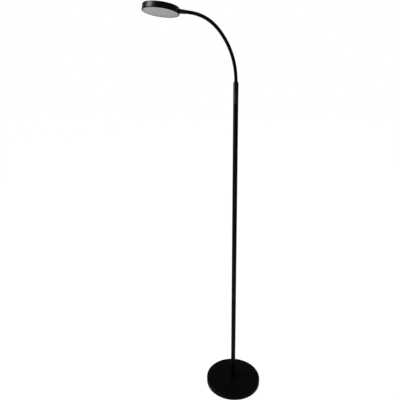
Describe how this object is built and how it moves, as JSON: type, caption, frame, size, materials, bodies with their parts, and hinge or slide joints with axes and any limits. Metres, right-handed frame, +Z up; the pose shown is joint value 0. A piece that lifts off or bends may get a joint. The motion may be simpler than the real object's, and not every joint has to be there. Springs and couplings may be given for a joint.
{
  "type": "gooseneck reading floor lamp",
  "caption": "Slim black gooseneck reading floor lamp with a round LED head on a flexible neck, a straight pole and a round weighted base.",
  "frame": {"origin": "on the floor, at the pole's axis, the centre of the round base", "axes": "+Z up along the pole; the neck leans over toward -X, so the head is on the -X side; +Y is the back, where the cord inlet is"},
  "size_m": [0.4711, 0.2527, 1.6629],
  "materials": {
    "black_cover": "satin",
    "black_pole": "satin",
    "black_sleeve": "satin",
    "black_neck": "satin",
    "black_head": "satin",
    "black_bezel": "satin",
    "opal": "satin",
    "board": "matte",
    "led": "satin",
    "terminal": "matte",
    "lead_jacket": "matte",
    "steel": "satin",
    "iron": "matte",
    "foam": "matte",
    "rubber": "matte"
  },
  "bodies": {
    "stand": {"base_pad": "foam", "base_weight": "iron", "base_cover": "black_cover", "cord_gland": "rubber", "base_stud": "steel", "stud_nut": "steel", "pole_plugs": "steel", "pole_tube_lower": "black_pole", "pole_tube_middle": "black_pole", "pole_tube_upper": "black_pole", "pole_lead": "lead_jacket", "neck_sleeve": "black_sleeve", "neck_link_01": "black_neck"},
    "neck_02": {"neck_link_02": "black_neck"},
    "neck_03": {"neck_link_03": "black_neck"},
    "neck_04": {"neck_link_04": "black_neck"},
    "neck_05": {"neck_link_05": "black_neck"},
    "neck_06": {"neck_link_06": "black_neck"},
    "neck_07": {"neck_link_07": "black_neck"},
    "neck_08": {"neck_link_08": "black_neck"},
    "neck_09": {"neck_link_09": "black_neck"},
    "neck_10": {"neck_link_10": "black_neck"},
    "neck_11": {"neck_link_11": "black_neck"},
    "lamp_head": {"neck_link_12": "black_neck", "head_ferrule": "black_sleeve", "head_nut": "steel", "head_housing": "black_head", "bezel_ring": "black_bezel", "diffuser": "opal", "led_board": "board", "leds": "led", "wire_terminal": "terminal", "head_lead": "lead_jacket"}
  },
  "joints": [
    {"name": "neck_bend_1", "type": "hinge", "parent": "stand", "child": "neck_02", "pos_m": [0, 0, 1.3854], "axis": [0, -1, 0], "range_deg": [-11, 11]},
    {"name": "neck_bend_2", "type": "hinge", "parent": "neck_02", "child": "neck_03", "pos_m": [-0.00203, 0, 1.41884], "axis": [0, -1, 0], "range_deg": [-11, 11]},
    {"name": "neck_sway_1", "type": "hinge", "parent": "neck_03", "child": "neck_04", "pos_m": [-0.00777, 0, 1.45185], "axis": [0.9741, 0, 0.2262], "range_deg": [-12, 12]},
    {"name": "neck_bend_3", "type": "hinge", "parent": "neck_04", "child": "neck_05", "pos_m": [-0.01728, 0, 1.48397], "axis": [0, -1, 0], "range_deg": [-11, 11]},
    {"name": "neck_bend_4", "type": "hinge", "parent": "neck_05", "child": "neck_06", "pos_m": [-0.03056, 0, 1.51473], "axis": [0, -1, 0], "range_deg": [-11, 11]},
    {"name": "neck_sway_2", "type": "hinge", "parent": "neck_06", "child": "neck_07", "pos_m": [-0.04742, 0, 1.54368], "axis": [0.8325, 0, 0.554], "range_deg": [-12, 12]},
    {"name": "neck_bend_5", "type": "hinge", "parent": "neck_07", "child": "neck_08", "pos_m": [-0.06761, 0, 1.5704], "axis": [0, -1, 0], "range_deg": [-11, 11]},
    {"name": "neck_bend_6", "type": "hinge", "parent": "neck_08", "child": "neck_09", "pos_m": [-0.09159, 0, 1.59374], "axis": [0, -1, 0], "range_deg": [-11, 11]},
    {"name": "neck_sway_3", "type": "hinge", "parent": "neck_09", "child": "neck_10", "pos_m": [-0.11982, 0, 1.61171], "axis": [0.4476, 0, 0.8942], "range_deg": [-12, 12]},
    {"name": "neck_bend_7", "type": "hinge", "parent": "neck_10", "child": "neck_11", "pos_m": [-0.15112, 0, 1.62354], "axis": [0, -1, 0], "range_deg": [-11, 11]},
    {"name": "neck_bend_8", "type": "hinge", "parent": "neck_11", "child": "lamp_head", "pos_m": [-0.18406, 0, 1.62964], "axis": [0, -1, 0], "range_deg": [-11, 11]}
  ]
}
